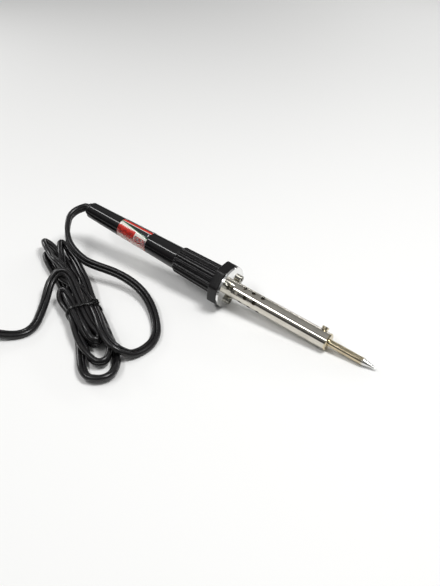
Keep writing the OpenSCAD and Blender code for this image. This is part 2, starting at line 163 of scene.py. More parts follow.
# Route of the lead from the handle to the hank, and of the tail from the hank to the plug: x, y, z in
# millimetres and the turn of the flat side in degrees
LEAD = [
    (-123.6, -2.8, 28.9, 90), (-125.8, -8, 27.8, 90), (-125.2, -14.5, 25.8, 90), (-121.5, -21.5, 23, 85),
    (-115, -28, 20, 80), (-105.5, -33.5, 17, 72), (-94.5, -36, 14.8, 62), (-81, -33.5, 12.5, 52),
    (-67.5, -30, 11, 46), (-56.5, -28.5, 9, 42), (-44, -29.5, 6.5, 34), (-31.5, -34.5, 4.4, 24),
    (-20, -42.5, 2.6, 8), (-11, -51, 2, 0), (-6, -58.5, 2, 0), (-4.5, -66.5, 2, 0), (-6, -74.5, 2, 0),
    (-8.5, -81, 3.5, 0), (-12, -86, 6.5, 0),
]
TAIL = [
    (-93, -49, 10, -38), (-97, -51, 12.2, -48), (-98.5, -55, 12.2, -46), (-96.5, -61, 10.5, -30),
    (-93, -67, 7.5, -14), (-88, -75, 4.4, -5), (-82.5, -84.5, 2.4, 0), (-77, -93.5, 2.1, 0),
    (-75, -100, 2.1, 0), (-76.8, -106, 2.1, 0), (-82, -111.2, 2.6, 0), (-88.5, -116.2, 4.4, 0),
]
PLUG_MOUTH = (-95.5, -121.4, 6.85, 0)
PLUG_TURN = math.radians(-143)

# The hank lies along a line through its tie. A point in it is u along that line (negative towards its upper
# folds), v across it and z, in millimetres.
HANK_TIE = Vector((-57, -69, 0))
HANK_TURN = math.radians(-29.6)
HANK_TOP = -104    # u just beyond the upper folds
HANK_FOOT = 68    # u just beyond the lower folds
HANK_HALF_W = 13    # half the width in v that the strands stay within


def in_hank(u, v, z):
    c, w = math.cos(HANK_TURN), math.sin(HANK_TURN)
    return HANK_TIE + Vector((u * c - v * w, u * w + v * c, z))


# Where the cord passes the tie, in the order of its run: v, z and the turn of its flat side
PASSES = [
    (4.9, 8.8, 10), (5.9, 5.4, 0), (-5.2, 2.1, 0), (1.2, 1.9, 0), (-3.4, 5.2, 0),
    (1.8, 5.4, 0), (-7.6, 6.2, 75), (-5.0, 9.0, -20), (-0.2, 9.3, 0),
]
# One fold between two passes: its end's u, v and z, its half width, the side in v (+1 or -1) where the cord
# goes out, v and z half way out, v and z half way back, and the flat side's turn half way and at the end
FOLDS = [
    ((-89.5, 5.0, 7.6), 2.6, -1, (-1.0, 7.2), (5.2, 6.0), 20, 90),
    ((65.5, -4.4, 3.4), 10.4, 1, (7.4, 3.4), (-10.4, 3.2), 15, 35),
    ((-86.0, -6.0, 3.2), 5.0, -1, (-3.4, 2.1), (0.0, 2.2), 10, 80),
    ((36.5, -0.5, 3.3), 4.0, 1, (1.5, 2.2), (-4.4, 3.2), 10, 90),
    ((-98.5, -5.6, 5.4), 3.2, -1, (-0.6, 7.4), (2.4, 4.6), 25, 90),
    ((55.0, -2.0, 4.2), 8.2, 1, (5.6, 6.4), (-9.8, 5.4), 10, 80),
    ((-31.0, -9.6, 7.2), 2.6, -1, (-9.6, 5.2), (-3.6, 10.2), 20, 60),
    ((39.5, 0.0, 7.2), 4.8, -1, (-5.8, 7.8), (2.6, 6.2), 15, 85),
]


def fold(ends, half, side, out, back, turn, end_turn):
    """The points of one fold, between two passes of the tie."""
    u, v, z = ends
    towards = math.copysign(1, u)
    bend = ((1.5, 1.0, 0.7), (0.45, 0.8, 0.85))    # shares of the half width in u and in v, and of the rise

    def leg(way, halfway, share, width, rise):
        height = halfway + (z - halfway) * rise
        return u - towards * share * half, v + way * width * half, height, end_turn

    going = [leg(side, out[1], *step) for step in bend]
    coming = [leg(-side, back[1], *step) for step in reversed(bend)]
    return [(0.5 * u, *out, turn), *going, (u, v, z, end_turn), *coming, (0.5 * u, *back, turn)]


# The lead comes over the lower folds before it first passes the tie: u, v, z and turn
LEAD_IN = [(50.5, 5.4, 8.0, 0), (44.5, 3.2, 9.3, 4), (24.0, 3.8, 9.6, 8)]


def hank_points():
    points = list(LEAD_IN)
    for k, (v, z, turn) in enumerate(PASSES):
        points.append((0, v, z, turn))
        if k < len(FOLDS):
            points += fold(*FOLDS[k])
    return [(*in_hank(u, v, z), turn) for u, v, z, turn in points]


def route():
    """The whole cord's points in millimetres, from the handle to the plug."""
    rear = on_axis(GROMMET_REAR) / MM
    start = [(*(rear - out * AHEAD), 90) for out in (0, 1.5, 3)]
    return start + LEAD + hank_points() + TAIL + [PLUG_MOUTH]


def smooth_line(points, step):
    """Points about a step apart on a smooth curve through the given ones."""
    points = [Vector(p) for p in points]
    dense = []
    for k in range(len(points) - 1):
        a, b = points[max(k - 1, 0)], points[k]
        c, d = points[k + 1], points[min(k + 2, len(points) - 1)]
        # centripetal weights keep short and long stretches even
        steps = max(4, int((c - b).length / (0.25 * step)))
        t1, t2, t3 = (max(way.to_3d().length, 1e-3) ** 0.5 for way in (b - a, c - b, d - c))
        m1 = (c - b + t2 * ((b - a) / t1 - (c - a) / (t1 + t2))) if k else c - b
        m2 = (c - b + t2 * ((d - c) / t3 - (d - b) / (t2 + t3))) if k + 2 < len(points) else c - b
        for j in range(steps):
            f = j / steps
            dense.append((2 * f**3 - 3 * f**2 + 1) * b + (f**3 - 2 * f**2 + f) * m1
                         + (3 * f**2 - 2 * f**3) * c + (f**3 - f**2) * m2)
    dense.append(points[-1])
    line = [dense[0]]
    gone = 0.0
    for a, b in zip(dense, dense[1:]):
        gone += (b - a).to_3d().length
        if gone >= step:
            line.append(b)
            gone = 0.0
    line[-1] = dense[-1]
    return line


def cord_section(w, t, steps=9):
    """The twin cord's outline: two round cores side by side, with a groove between them."""
    r, reach = t / 2, (w - t) / 2
    meet = math.pi - math.acos(reach / r) + 0.12
    half = [(reach + r * math.cos(a), r * math.sin(a))
            for a in (-meet + 2 * meet * k / steps for k in range(steps + 1))]
    return half + [(-x, -y) for x, y in half]


def section_frame(line, k):
    """The directions across the flat cord at a point of its line: along its flat side, and square to that."""
    ahead = (Vector(line[min(k + 1, len(line) - 1)][:3]) - Vector(line[max(k - 1, 0)][:3])).normalized()
    flat = Vector((0, 0, 1)).cross(ahead).normalized()
    up = ahead.cross(flat)
    c, w = math.cos(math.radians(line[k][3])), math.sin(math.radians(line[k][3]))
    return flat * c + up * w, up * c - flat * w


def section_points(line, k, section):
    """The section's points, in metres, at a point of the line in millimetres."""
    flat, up = section_frame(line, k)
    middle = Vector(line[k][:3]) * MM
    return [middle + x * flat + y * up for x, y in section]


SETTLE_ROUNDS = 120
NEIGHBOURS = 4    # points this near along the cord don't push each other
STIFF_IN_HANK = 0.05    # how strongly a point is drawn towards the points beside it in each round
STIFF_OUTSIDE = 0.008
GIVE = 0.45    # share of an overlap that a point is pushed by, before its push is spread
SPREAD_GAIN = 1.6    # makes up for what the spreading takes from a push


def settle(line):
    """Moves strands apart where they run into each other, and up where they run into the bench.

    The cord is taken as two round cores side by side. Its ends stay as they are. Slight overlaps are left.
    """
    place = np.array([p[:3] for p in line])
    turns = np.array([p[3] for p in line])
    count = len(line)
    reach, core = (CORD_W - CORD_T) / 2 / MM, CORD_T / MM
    index = np.arange(count)
    # 0 at the last two points of each end, rising to 1 over the next three
    free = np.clip(np.minimum(index - 1, count - 2 - index) / 3.0, 0, 1)[:, None]
    # the strands in the hank even out, while the lead and the tail nearly keep their shape
    along = np.array((math.cos(HANK_TURN), math.sin(HANK_TURN)))
    across = np.array((-along[1], along[0]))
    from_tie = place[:, :2] - np.array(HANK_TIE[:2])
    u, v = from_tie @ along, from_tie @ across
    inside = (np.abs(v) < HANK_HALF_W) & (u > HANK_TOP) & (u < HANK_FOOT)
    stiff = np.where(inside, STIFF_IN_HANK, STIFF_OUTSIDE)[1:-1]
    apart = np.abs(index[:, None] - index[None, :]) > NEIGHBOURS
    for _ in range(SETTLE_ROUNDS):
        ahead = np.gradient(place, axis=0)
        ahead /= np.linalg.norm(ahead, axis=1)[:, None]
        flat = np.cross((0, 0, 1), ahead)
        flat /= np.linalg.norm(flat, axis=1)[:, None]
        up = np.cross(ahead, flat)
        c, w = np.cos(np.radians(turns))[:, None], np.sin(np.radians(turns))[:, None]
        wide = flat * c + up * w
        push = np.zeros_like(place)
        hits = np.zeros(count)
        cores = [place + side * reach * wide for side in (-1, 1)]
        for one in cores:
            for two in cores:
                gap = one[:, None, :] - two[None, :, :]
                far = np.sqrt((gap**2).sum(axis=2)) + 1e-6
                near = apart & (far < core)
                depth = np.where(near, core - far, 0)
                push += (gap / far[:, :, None] * depth[:, :, None]).sum(axis=1)
                hits += near.sum(axis=1)
        move = GIVE * push / np.maximum(hits, 1)[:, None]
        # a point gives way together with the points beside it
        for _ in range(3):
            move[1:-1] = 0.25 * move[:-2] + 0.5 * move[1:-1] + 0.25 * move[2:]
        place = place + SPREAD_GAIN * move * free
        smooth = place.copy()
        smooth[1:-1] += (stiff * (place[:-2] + place[2:] - 2 * place[1:-1]).T).T
        place = np.where(free > 0, smooth, place)
        half_high = np.abs(wide[:, 2]) * reach + core / 2
        place[:, 2] = np.maximum(place[:, 2], half_high + 0.05)
    return [Vector((*p, t)) for p, t in zip(place.tolist(), turns.tolist())]


def sweep(bm, line, section):
    """Sweeps a section along a line, with its flat side turned about the line from level."""
    rings = [[bm.verts.new(q) for q in section_points(line, k, section)] for k in range(len(line))]
    for a, b in zip(rings, rings[1:]):
        for j in range(len(section)):
            i = (j + 1) % len(section)
            bm.faces.new((a[j], a[i], b[i], b[j]))
    bm.faces.new(list(reversed(rings[0])))
    bm.faces.new(rings[-1])


def make_cord():
    line = smooth_line(settle(smooth_line(route(), 2 * RING_STEP)), RING_STEP)
    path = [Vector(p[:3]) * MM for p in line]
    bm = bmesh.new()
    sweep(bm, line, cord_section(CORD_W, CORD_T))
    length = sum((b - a).length for a, b in zip(path, path[1:]))
    cord = add_piece("cord", bm, "iron", "cord_lead", "cord_hank", "cord_tail", slot="cord_rubber")
    return cord, path, length, line


cord, cord_path, cord_length, cord_line = make_cord()

# ---- Materials ----


class Nodes:
    """Small helper that adds shader nodes to one material and links them."""

    def __init__(self, name):
        self.mat = bpy.data.materials.new(name)
        self.mat.use_nodes = True
        self.tree = self.mat.node_tree
        self.bsdf = self.tree.nodes["Principled BSDF"]

    def put(self, kind, **settings):
        node = self.tree.nodes.new(kind)
        for key, value in settings.items():
            setattr(node, key, value)
        return node

    def feed(self, socket, value):
        if isinstance(value, bpy.types.NodeSocket):
            self.tree.links.new(value, socket)
        elif hasattr(socket.default_value, "__len__") and not hasattr(value, "__len__"):
            socket.default_value = [value] * len(socket.default_value)
        else:
            opaque = hasattr(value, "__len__") and len(value) == 3 and len(socket.default_value) == 4
            socket.default_value = (*value, 1) if opaque else value

    def place(self, stretch=(1, 1, 1)):
        """Object coordinates turned so that X runs along the iron, and stretched."""
        coordinates = self.put("ShaderNodeTexCoord")
        turn = self.put("ShaderNodeMapping")
        turn.inputs["Rotation"].default_value = (0, -TILT, 0)
        turn.inputs["Scale"].default_value = stretch
        self.feed(turn.inputs["Vector"], coordinates.outputs["Object"])
        return turn.outputs["Vector"]

    def noise(self, per_mm, detail=4.0, rough=0.6, vector=None, stretch=(1, 1, 1)):
        node = self.put("ShaderNodeTexNoise")
        node.inputs["Scale"].default_value = per_mm / MM
        node.inputs["Detail"].default_value = detail
        node.inputs["Roughness"].default_value = rough
        self.feed(node.inputs["Vector"], vector or self.place(stretch))
        return node.outputs["Fac"]

    def spread(self, value, low, high, from_low=0.3, from_high=0.7):
        """Maps a value from one range to another, held at its ends."""
        node = self.put("ShaderNodeMapRange")
        for socket, number in zip(("Value", "From Min", "From Max", "To Min", "To Max"),
                                  (value, from_low, from_high, low, high)):
            self.feed(node.inputs[socket], number)
        return node.outputs["Result"]

    def maths(self, operation, *values):
        node = self.put("ShaderNodeMath", operation=operation)
        for socket, value in zip(node.inputs, values):
            self.feed(socket, value)
        return node.outputs[0]

    def between(self, value, low, high, soft):
        """1 where the value lies between two limits, 0 outside."""
        rise = self.spread(value, 0, 1, low - soft, low + soft)
        fall = self.spread(value, 1, 0, high - soft, high + soft)
        return self.maths("MULTIPLY", rise, fall)

    def mix(self, share, first, second):
        node = self.put("ShaderNodeMix", data_type="RGBA")
        self.feed(node.inputs[0], share)
        self.feed(node.inputs[6], first)
        self.feed(node.inputs[7], second)
        return node.outputs[2]

    def bump(self, height, strength, depth_mm):
        node = self.put("ShaderNodeBump")
        node.inputs["Strength"].default_value = strength
        node.inputs["Distance"].default_value = depth_mm * MM
        self.feed(node.inputs["Height"], height)
        self.feed(self.bsdf.inputs["Normal"], node.outputs["Normal"])

    def finish(self, color, rough, metal=0.0, **constants):
        self.feed(self.bsdf.inputs["Base Color"], color)
        self.feed(self.bsdf.inputs["Roughness"], rough)
        self.bsdf.inputs["Metallic"].default_value = metal
        for socket, value in constants.items():
            self.bsdf.inputs[socket.replace("_", " ")].default_value = value
        return self.mat


def worn(name, tone, second, rough, metal=0.0, grain=0.8, depth=0.02, strength=0.3, **constants):
    """A finish of two tones, a roughness that varies between two values, and a fine grain."""
    n = Nodes(name)
    broad = n.noise(grain * 0.25, 3.0)
    fine = n.noise(grain * 2.5, 5.0)
    n.bump(fine, strength, depth)
    return n.finish(n.mix(n.spread(broad, 0, 1), tone, second), n.spread(fine, *rough), metal, **constants)


sleeve_gloss = worn("sleeve_gloss", (0.004, 0.004, 0.005), (0.008, 0.007, 0.007), (0.08, 0.14), depth=0.001,
                    strength=0.1, Specular_IOR_Level=0.45)
grip_satin = worn("grip_satin", (0.004, 0.004, 0.005), (0.009, 0.008, 0.008), (0.2, 0.3), grain=1.5,
                  depth=0.006, strength=0.2, Specular_IOR_Level=0.3)
cord_rubber = worn("cord_rubber", (0.006, 0.006, 0.007), (0.012, 0.011, 0.011), (0.2, 0.32), grain=1.2,
                   depth=0.01, strength=0.25, Specular_IOR_Level=0.4)
grommet_rubber = worn("grommet_rubber", (0.007, 0.007, 0.007), (0.014, 0.013, 0.013), (0.4, 0.55), depth=0.02,
                      Specular_IOR_Level=0.35)
tie_plastic = worn("tie_plastic", (0.005, 0.005, 0.005), (0.01, 0.01, 0.01), (0.2, 0.3), depth=0.006,
                   Specular_IOR_Level=0.45)
plug_plastic = worn("plug_plastic", (0.007, 0.007, 0.008), (0.014, 0.013, 0.013), (0.3, 0.42), grain=1.6,
                    depth=0.015, Specular_IOR_Level=0.4)
bright_steel = worn("bright_steel", (0.86, 0.86, 0.85), (0.76, 0.76, 0.75), (0.1, 0.2), 1.0, grain=0.6,
                    depth=0.002)
screw_steel = worn("screw_steel", (0.42, 0.41, 0.37), (0.24, 0.23, 0.2), (0.14, 0.26), 1.0, depth=0.004)
cap_metal = worn("cap_metal", (0.7, 0.62, 0.45), (0.56, 0.49, 0.35), (0.12, 0.22), 1.0, depth=0.003)
brass = worn("brass", (0.72, 0.55, 0.27), (0.55, 0.4, 0.19), (0.22, 0.36), 1.0, depth=0.006)
pin_metal = worn("pin_metal", (0.72, 0.68, 0.6), (0.6, 0.56, 0.48), (0.16, 0.28), 1.0, depth=0.004)
ceramic = worn("ceramic", (0.4, 0.37, 0.31), (0.28, 0.26, 0.22), (0.5, 0.7), grain=1.2, depth=0.02)
ribbon_metal = worn("ribbon_metal", (0.3, 0.29, 0.28), (0.16, 0.15, 0.14), (0.35, 0.5), 1.0)
mica = worn("mica", (0.07, 0.055, 0.035), (0.035, 0.028, 0.02), (0.35, 0.5), grain=0.5, depth=0.01)
sleeving = worn("sleeving", (0.6, 0.59, 0.52), (0.46, 0.44, 0.38), (0.7, 0.85), grain=2.0, depth=0.05)
copper = worn("copper", (0.75, 0.38, 0.22), (0.6, 0.28, 0.16), (0.25, 0.38), 1.0, grain=1.5, depth=0.006)
clamp_steel = worn("clamp_steel", (0.55, 0.55, 0.54), (0.4, 0.4, 0.39), (0.3, 0.45), 1.0, depth=0.01)


def make_barrel_metal():
    """Polished nickel outside, with faint drawing marks along it, and painted shade inside the tube: the
    inner wall is near black so that the vent holes look dark.
    """
    n = Nodes("barrel_metal")
    split = n.put("ShaderNodeSeparateXYZ")
    n.feed(split.inputs[0], n.place())
    up = n.maths("SUBTRACT", split.outputs[2], DISC.dot(UP))
    radius = n.maths("SQRT", n.maths("ADD", n.maths("MULTIPLY", up, up),
                                     n.maths("MULTIPLY", split.outputs[1], split.outputs[1])))
    outside = n.spread(radius, 0, 1, (BARREL_R - 0.3) * MM, (BARREL_R - 0.15) * MM)
    cloud = n.noise(0.12, 3.0)
    grain = n.noise(1.2, 5.0, stretch=(0.25, 1, 1))
    nickel = n.mix(n.spread(cloud, 0, 1), (0.68, 0.65, 0.58), (0.56, 0.53, 0.47))
    # painted shade: the tube's inner wall is coloured near black so that the vent holes read as dark
    painted_inner_shade = n.mix(n.spread(cloud, 0, 1), (0.035, 0.03, 0.026), (0.02, 0.018, 0.016))
    n.bump(grain, 0.2, 0.0015)
    dull_inside = n.maths("MULTIPLY", n.maths("SUBTRACT", 1, outside), 0.4)
    rough = n.maths("ADD", n.spread(grain, 0.07, 0.13), dull_inside)
    return n.finish(n.mix(outside, painted_inner_shade, nickel), rough, 1.0)


def make_bit_metal():
    """Nickel-brown shank that turns into a bright silver cone at the point."""
    n = Nodes("bit_metal")
    split = n.put("ShaderNodeSeparateXYZ")
    n.feed(split.inputs[0], n.place())
    grain = n.noise(1.2, 5.0, stretch=(0.3, 1, 1))
    cloud = n.noise(0.15, 3.0)
    start = on_axis(BIT_CONE).dot(AHEAD)
    along = n.maths("ADD", split.outputs[0], n.spread(cloud, -0.8 * MM, 0.8 * MM))
    silver = n.spread(along, 0, 1, start - 1.2 * MM, start + 0.6 * MM)
    shank = n.mix(n.spread(cloud, 0, 1), (0.6, 0.52, 0.36), (0.44, 0.38, 0.26))
    n.bump(grain, 0.2, 0.002)
    return n.finish(n.mix(silver, shank, (0.72, 0.72, 0.7)), n.spread(grain, 0.1, 0.2), 1.0)


def make_label_print():
    """Colour bands and small marks round the label.

    The mesh's UV holds the angle in degrees / 100 and the share of the label's length.
    """
    n = Nodes("label_print")
    uv = n.put("ShaderNodeUVMap", uv_map="label")
    split = n.put("ShaderNodeSeparateXYZ")
    n.feed(split.inputs[0], uv.outputs["UV"])
    angle, along = n.maths("MULTIPLY", split.outputs[0], 100), split.outputs[1]
    soft = 0.6

    def marks(columns, rows, limit, seed):
        """Small blots in rows, dense but unreadable."""
        where = n.put("ShaderNodeMapping")
        where.inputs["Scale"].default_value = (rows, columns, 1)
        where.inputs["Location"].default_value = (seed, 0.37 * seed, 0)
        n.feed(where.inputs["Vector"], uv.outputs["UV"])
        spots = n.put("ShaderNodeTexNoise")
        spots.inputs["Scale"].default_value = 1.0
        spots.inputs["Detail"].default_value = 1.0
        n.feed(spots.inputs["Vector"], where.outputs["Vector"])
        return n.spread(spots.outputs["Fac"], 0, 1, limit - 0.02, limit + 0.02)

    def rows(step, share):
        """1 on the printed lines, which repeat every step degrees."""
        beat = n.maths("FRACT", n.maths("DIVIDE", angle, step))
        return n.between(beat, 0.1, 0.1 + share, 0.05)

    def printed(area, lines, blots):
        """1 where an area, the printed lines and the blots meet."""
        return n.maths("MULTIPLY", area, n.maths("MULTIPLY", lines, blots))

    cloud = n.noise(0.4, 3.0)
    white = n.mix(n.spread(cloud, 0, 1), (0.78, 0.76, 0.7), (0.68, 0.66, 0.6))
    red = n.mix(n.spread(cloud, 0, 1), (0.6, 0.025, 0.012), (0.48, 0.018, 0.01))
    black, green, teal = (0.012, 0.012, 0.014), (0.02, 0.17, 0.06), (0.025, 0.08, 0.1)
    # black at the back, a red band with painted shade that darkens it towards black upwards, a white line and
    # a black wedge over a green line
    color = n.mix(n.between(angle, 108, 200, soft), white, black)
    # the red band's blend into black towards its upper edge is painted shade
    color = n.mix(n.between(angle, 88, 108, soft), color, n.mix(n.spread(angle, 0, 1, 97, 109), red, black))
    wedge = n.maths("SUBTRACT", angle, n.maths("SUBTRACT", 84, n.maths("MULTIPLY", along, 30)))
    below_line = n.spread(angle, 1, 0, 85 - 0.4, 85 + 0.4)
    color = n.mix(n.maths("MULTIPLY", n.spread(wedge, 0, 1, -4.4, -3.6), below_line), color, green)
    color = n.mix(n.maths("MULTIPLY", n.spread(wedge, 0, 1, -0.4, 0.4), below_line), color, black)
    # a red block with dark marks at the cord end, and dark and teal marks on the rest
    block = n.maths("MULTIPLY", n.between(angle, 10, 58, soft), n.spread(along, 1, 0, 0.58, 0.6))
    color = n.mix(block, color, red)
    in_block = n.maths("MULTIPLY", block, n.spread(angle, 1, 0, 34, 46))
    color = n.mix(printed(in_block, rows(7, 0.6), marks(9, 16, 0.47, 3.1)), color, black)
    side = n.maths("MULTIPLY", n.between(angle, 6, 38, soft), n.spread(along, 0, 1, 0.6, 0.62))
    color = n.mix(side, color, n.mix(marks(12, 30, 0.5, 7.7), teal, red))
    color = n.mix(printed(side, rows(6, 0.4), marks(28, 30, 0.5, 2.7)), color, white)
    low = n.between(angle, -32, 12, soft)
    color = n.mix(printed(low, rows(13, 0.62), marks(15, 20, 0.47, 1.9)), color, red)
    far = n.between(angle, 200, 290, soft)
    color = n.mix(printed(far, rows(9, 0.4), marks(24, 26, 0.53, 5.3)), color, black)
    n.bump(cloud, 0.15, 0.004)
    return n.finish(color, n.spread(cloud, 0.2, 0.3), 0.0, Coat_Weight=0.3, Coat_Roughness=0.1)


# ---- Plug and tie ----


def superellipse(half_w, half_t, power, count=64):
    """An outline between an ellipse, at power 2, and a rectangle with round corners."""
    points = []
    for k in range(count):
        a = 2 * math.pi * k / count
        c, w = math.cos(a), math.sin(a)
        x = math.copysign(abs(c) ** (2 / power) * half_w, c)
        y = math.copysign(abs(w) ** (2 / power) * half_t, w)
        points.append((x, y))
    return points


def capped_loft(bm, rings):
    """A closed solid through rings of points."""
    loop_rings(bm, rings, closed=False)
    bm.verts.ensure_lookup_table()
    n = len(rings[0])
    bm.faces.new([bm.verts[j] for j in range(n)])
    bm.faces.new([bm.verts[len(bm.verts) - n + j] for j in range(n)])
    bmesh.ops.recalc_face_normals(bm, faces=bm.faces[:])


def in_plug(m, side, up):
    """The point m millimetres in front of the mouth of the plug's strain relief."""
    c, w = math.cos(PLUG_TURN), math.sin(PLUG_TURN)
    x, y, z = PLUG_MOUTH[:3]
    return Vector((x + m * c - side * w, y + m * w + side * c, z + up)) * MM


# The plug's body: distance in front of the relief's mouth, half width, half thickness and the outline's power
PLUG_SHAPE = [
    (22.0, 5.6, 5.0, 2.4), (22.25, 6.15, 5.5, 2.4), (22.8, 6.6, 5.95, 2.5), (24.2, 7.5, 6.35, 2.7),
    (27, 9.2, 6.6, 3.0), (30, 11.1, 6.72, 3.3), (33, 13.0, 6.78, 3.6), (35.5, 14.3, 6.82, 3.9),
    (38, 15.15, 6.85, 4.2), (41, 15.5, 6.85, 4.4), (45, 15.5, 6.85, 4.4), (49, 15.1, 6.85, 4.4),
    (53, 14.3, 6.8, 4.4), (55.4, 13.75, 6.7, 4.4), (56.3, 13.5, 6.5, 4.3), (56.8, 13.15, 6.2, 4.2),
    (57, 12.7, 5.8, 4.0),
]
RIBS = 12    # ribs of the strain relief
RELIEF_LENGTH = 21.9
RELIEF_MOUTH_R = 3.4
RELIEF_WIDENS = 1.8
# One rib: shares of its length and how far its radius is below the rib's crest
RIB_SHAPE = ((0, 0.45), (0.12, 0.1), (0.25, 0), (0.55, 0), (0.68, 0.1), (0.8, 0.45))


def make_plug():
    bm = bmesh.new()
    capped_loft(bm, [[in_plug(m, a, b) for a, b in superellipse(w, t, p)] for m, w, t, p in PLUG_SHAPE])
    finish = {"slot": "plug_plastic", "material": plug_plastic}
    body = add_piece("plug_shell", bm, "iron", "plug_body", **finish)
    relief = []
    for k in range(RIBS):
        crest = RELIEF_MOUTH_R + RELIEF_WIDENS * k / (RIBS - 1)
        start = 0.1 + RELIEF_LENGTH * k / RIBS
        relief += [(start + share * RELIEF_LENGTH / RIBS, crest - drop) for share, drop in RIB_SHAPE]
    relief.append((22.05, 5.0))
    bm = bmesh.new()
    capped_loft(bm, [[in_plug(m, a, b) for a, b in superellipse(r, r, 2, 40)] for m, r in relief])
    ribs = add_piece("plug_relief_ribs", bm, "iron", "plug_relief", **finish)
    return body, ribs


def hull(points):
    """The convex outline of flat points, anticlockwise."""
    points = sorted(set(points))
    chain = []
    for run in (points, points[::-1]):
        part = []
        for p in run:
            while len(part) > 1 and ((part[-1][0] - part[-2][0]) * (p[1] - part[-2][1])
                                     - (part[-1][1] - part[-2][1]) * (p[0] - part[-2][0])) <= 0:
                part.pop()
            part.append(p)
        chain += part[:-1]
    return chain


def even_outline(outline, count):
    """Points at even distances round a closed outline, rounded off."""
    length = [math.dist(outline[k], outline[(k + 1) % len(outline)]) for k in range(len(outline))]
    total = sum(length)
    even, k, gone = [], 0, 0.0
    for step in range(count):
        want = total * step / count
        while gone + length[k] < want:
            gone += length[k]
            k += 1
        share = (want - gone) / length[k]
        a, b = outline[k], outline[(k + 1) % len(outline)]
        even.append(Vector((a[0] + (b[0] - a[0]) * share, a[1] + (b[1] - a[1]) * share)))
    for _ in range(14):
        even = [0.5 * even[k] + 0.25 * (even[k - 1] + even[(k + 1) % count]) for k in range(count)]
    return even


TIE_POINTS = 96    # points round the tie
TIE_NEAR = 3    # the band goes round the strands' middles within this distance along the hank
TIE_REACH = 12    # and this distance across it
TIE_HALF_W = 1.1
# The band's section: place across its width and height above the strands
TIE_SECTION = (
    (-TIE_HALF_W, 0.2), (-TIE_HALF_W, 0.55), (0.2 - TIE_HALF_W, 0.8), (TIE_HALF_W - 0.2, 0.8),
    (TIE_HALF_W, 0.55), (TIE_HALF_W, 0.2), (TIE_HALF_W - 0.2, 0.0), (0.2 - TIE_HALF_W, 0.0),
)
LOCK_SIZE = (3.4, 3.4, 1.9)    # the tie's lock: along the hank, along the band and outwards


def make_tie(line, section):
    """A thin band drawn tight round the strands that pass the tie, with the stub of its locked end."""
    along = Vector((math.cos(HANK_TURN), math.sin(HANK_TURN), 0))
    across = Vector((-along.y, along.x, 0))

    def at_tie(u, place):
        """The point at u along the hank and at a flat place across it."""
        return (HANK_TIE + u * along + place.x * across + Vector((0, 0, place.y))) * MM

    cloud = []
    for k in range(1, len(line) - 1):
        from_tie = Vector(line[k][:3]) - HANK_TIE
        if abs(from_tie.dot(along)) < TIE_NEAR and abs(from_tie.dot(across)) < TIE_REACH:
            for q in section_points(line, k, section):
                d = q / MM - HANK_TIE
                cloud.append((round(d.dot(across), 3), round(d.z, 3)))
    even = even_outline(hull(cloud), TIE_POINTS)
    outs = []
    for k in range(TIE_POINTS):
        ahead = (even[(k + 1) % TIE_POINTS] - even[k - 1]).normalized()
        outs.append(Vector((ahead.y, -ahead.x)))
    rings = []
    for k in range(TIE_POINTS):
        ring = []
        for u, lift in TIE_SECTION:
            at = even[k] + (lift + 0.15) * outs[k]
            at.y = max(at.y, 0.08)
            ring.append(at_tie(u, at))
        rings.append(ring)
    bm = bmesh.new()
    loop_rings(bm, rings)
    # the lock sits high up, on the handle's side of the hank
    top = max(range(TIE_POINTS), key=lambda k: even[k].y + 0.6 * even[k].x)
    lock = even[top] + 1.1 * outs[top]
    ahead = Vector((-outs[top].y, outs[top].x))
    made = bmesh.ops.create_cube(bm, size=1)["verts"]
    for vert in made:
        x, y, z = vert.co
        at = lock + LOCK_SIZE[1] * y * ahead + LOCK_SIZE[2] * z * outs[top]
        vert.co = at_tie(LOCK_SIZE[0] * x, at)
    edges = list({e for vert in made for e in vert.link_edges})
    bmesh.ops.bevel(bm, geom=edges, offset=0.45 * MM, segments=3, affect="EDGES", profile=0.5)
    bmesh.ops.recalc_face_normals(bm, faces=bm.faces[:])
    return add_piece("tie_band", bm, "iron", "cord_tie", slot="tie_plastic", material=tie_plastic)


plug_shell, plug_ribs = make_plug()
tie_band = make_tie(cord_line, cord_section(CORD_W, CORD_T))

# ---- Handle ----

COUNT = 192    # points round the handle
FLUTES = 16
FLUTE_DEPTH = 0.9
FLUTE_R = 1.3
GRIP_R = 9.4    # at the rear of the grip, which widens towards the collar
GRIP_WIDENS = 0.9
GRIP_RUN = 32.9    # length over which it widens
NECK_R = 10.42    # where the grip meets the collar
COLLAR_HALF = 14.5    # half the collar's width across its flats
COLLAR_BEVEL = 0.7
COLLAR_POWER = 60    # the higher, the sharper the collar's eight corners
SEAT_R = 6.85    # the shallow seat in the collar's front
SEAT_DEPTH = 0.85
BORE_R = 6.0    # the bore in the grip, for the terminal block
CHANNEL_R = 4.4    # the bore in the sleeve, for the cord
CORD_HOLE_R = 3.95    # the hole in the handle's rear end

# The handle's rounded rear end and the grip's shoulder: millimetres in front of the end, and the radius there
SLEEVE_END = (
    (0, 4.6), (0, 5.15), (0.08, 5.35), (0.25, 5.62), (0.5, 5.82), (0.85, 5.92), (1.6, SLEEVE_REAR_R))
SHOULDER = (
    (0.0, 8.3), (0.08, 8.55), (0.25, 8.78), (0.5, 8.95), (0.8, 9.1), (1.15, 9.27), (1.6, 9.41), (2.2, 9.46))
# Where the flutes run out behind the collar: millimetres in front of the grip's front end, and their depth
RUN_OUT = ((-0.7, 0.84), (-0.4, 0.66), (-0.18, 0.38), (0, 0.0))
# The collar's rounded edges: how far inside its flats, and how far from its face
COLLAR_EDGE = ((COLLAR_BEVEL, 0), (0.42, 0.07), (0.18, 0.22), (0.05, 0.42), (0, COLLAR_BEVEL))


def round_axis(s, radius):
    """A ring of points about the axis. radius is a number or a function of the angle in degrees."""
    ring = []
    for k in range(COUNT):
        a = 360 * k / COUNT
        r = radius(a) if callable(radius) else radius
        c, w = math.cos(math.radians(a)), math.sin(math.radians(a))
        ring.append(on_axis(s, -r * c, r * w))
    return ring


